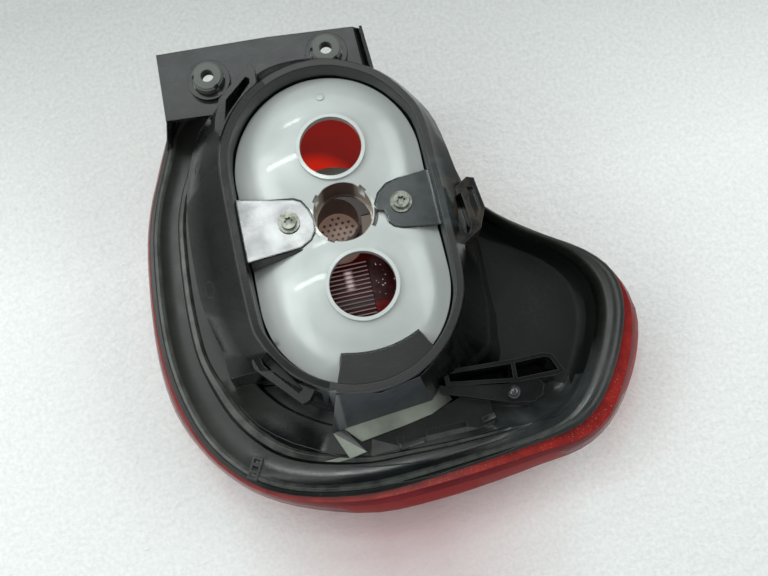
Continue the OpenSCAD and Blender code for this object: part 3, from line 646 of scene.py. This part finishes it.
# Ejector marks: two fine round witness lines on the skirt of the housing, where the
# pins of the mould pushed the housing out. They stand out by less than 0.2 mm.
witness_line = 0.0002
for name, middle, facing, radius in (
        ("upper_ejector_mark", (-0.0677, 0.0413, 0.0950), (-0.79, 0.25, 0.55), 0.0034),
        ("lower_ejector_mark", (-0.0735, -0.0227, 0.0934), (-0.77, -0.03, 0.64), 0.0040)):
    bpy.ops.mesh.primitive_torus_add(major_radius=radius, minor_radius=witness_line,
        major_segments=64, minor_segments=8, location=middle,
        rotation=Vector(facing).to_track_quat("Z", "Y").to_euler())
    mark = bpy.context.object
    mark.name = name
    bpy.ops.object.mode_set(mode="EDIT")
    bpy.ops.transform.resize(value=(1, 1, 0.8), orient_type="LOCAL")
    bpy.ops.object.mode_set(mode="OBJECT")
    bpy.ops.object.transform_apply(location=True, rotation=True, scale=True)
    bpy.ops.object.shade_smooth()
    settle(mark, black)

# Left tab web: a thin dark rib moulded under the lower edge of the left tab, which also
# stands as painted shadow for the gap under the tab. It is deep at the collar and runs out to a
# point towards the screw.
web_size = (0.0275, 0.0052, 0.0009)
web_place = (-0.0365, -0.0166, 0.0990)
web_turn = 0.05
web_tip = (-0.0225, -0.0136, 0.099)
bpy.ops.mesh.primitive_cube_add(size=1, location=web_place, rotation=(0, 0, web_turn))
web = bpy.context.object
web.name = "left_tab_web_and_shadow"
web.scale = web_size
bpy.ops.object.transform_apply(location=True, rotation=True, scale=True)
bpy.ops.object.mode_set(mode="EDIT")
bpy.ops.mesh.select_mode(type="VERT")
bpy.ops.mesh.select_all(action="DESELECT")
bpy.ops.object.mode_set(mode="OBJECT")
for vertex in web.data.vertices:
    vertex.select = vertex.co.x > -0.03
bpy.ops.object.mode_set(mode="EDIT")
bpy.ops.transform.resize(value=(1, 0.12, 1), center_override=web_tip)
bpy.ops.object.mode_set(mode="OBJECT")
finish_piece(web, pocket, 0.0001)

# Shelf catches: two small blocks with a hollow top, moulded on the shelf at the front
# of the housing. The wall and the hollow are shares of the block's own length and height.
wall_share = 0.15
hollow_share = -0.12
for name, middle, size, turn in (
        ("long_shelf_catch", (0.0107, -0.1171, 0.0521), (0.0148, 0.0030, 0.0022), 0.09),
        ("short_shelf_catch", (0.0530, -0.1126, 0.0522), (0.0072, 0.0030, 0.0030), 0.2)):
    bpy.ops.mesh.primitive_cube_add(size=1, location=middle, rotation=(0, 0, turn))
    catch = bpy.context.object
    catch.name = name
    catch.scale = size
    bpy.ops.object.mode_set(mode="EDIT")
    bpy.ops.mesh.select_all(action="DESELECT")
    bpy.ops.mesh.select_mode(type="FACE")
    bpy.ops.object.mode_set(mode="OBJECT")
    for face in catch.data.polygons:
        face.select = face.normal.z > 0.9
    bpy.ops.object.mode_set(mode="EDIT")
    bpy.ops.mesh.inset(thickness=wall_share, depth=hollow_share)
    bpy.ops.object.mode_set(mode="OBJECT")
    finish_piece(catch, black, 0.00025)

# Flange ribs: fine raised lines, moulded along the flange of the housing. Three run side
# by side along its front, and one round its left corner.
inner_route = ((0.0025, -0.1228, 0.0493), (0.0188, -0.1229, 0.0495), (0.0307, -0.1224, 0.0513),
    (0.0428, -0.1214, 0.0520), (0.0534, -0.1205, 0.0518))
middle_route = ((-0.0232, -0.1216, 0.0493), (-0.0083, -0.1249, 0.0494),
    (0.0075, -0.1268, 0.0497), (0.0230, -0.1276, 0.0501), (0.0396, -0.1265, 0.0499),
    (0.0563, -0.1253, 0.0497), (0.0706, -0.1230, 0.0488))
outer_route = ((-0.0082, -0.1345, 0.0519), (0.0049, -0.1358, 0.0505),
    (0.0195, -0.1359, 0.0503), (0.0378, -0.1341, 0.0504), (0.0544, -0.1324, 0.0504),
    (0.0641, -0.1308, 0.0505), (0.0798, -0.1280, 0.0520), (0.0988, -0.1220, 0.0524),
    (0.1090, -0.1145, 0.0525), (0.1182, -0.1050, 0.0525))
left_route = ((-0.0748, -0.0780, 0.0511), (-0.0711, -0.0842, 0.0511),
    (-0.0673, -0.0899, 0.0511), (-0.0596, -0.0970, 0.0511), (-0.0511, -0.1032, 0.0511),
    (-0.0428, -0.1077, 0.0511), (-0.0360, -0.1113, 0.0511), (-0.0282, -0.1152, 0.0517))
for name, width, route in (
        ("inner_flange_rib", 0.0005, inner_route),
        ("middle_flange_rib", 0.0006, middle_route),
        ("outer_flange_rib", 0.0007, outer_route),
        ("left_flange_rib", 0.0006, left_route)):
    bpy.ops.mesh.primitive_plane_add(size=width, location=route[0],
        rotation=(0, math.radians(90), 0))
    rib = bpy.context.object
    rib.name = name
    bpy.ops.object.transform_apply(location=True, rotation=True, scale=True)
    bpy.ops.object.mode_set(mode="EDIT")
    bpy.ops.mesh.select_all(action="SELECT")
    for start, end in zip(route, route[1:]):
        step = [b - a for a, b in zip(start, end)]
        bpy.ops.mesh.extrude_region_move(TRANSFORM_OT_translate={"value": step})
    bpy.ops.mesh.select_all(action="SELECT")
    bpy.ops.mesh.normals_make_consistent(inside=False)
    bpy.ops.object.mode_set(mode="OBJECT")
    finish_piece(rib, black, 0.0001, 1)
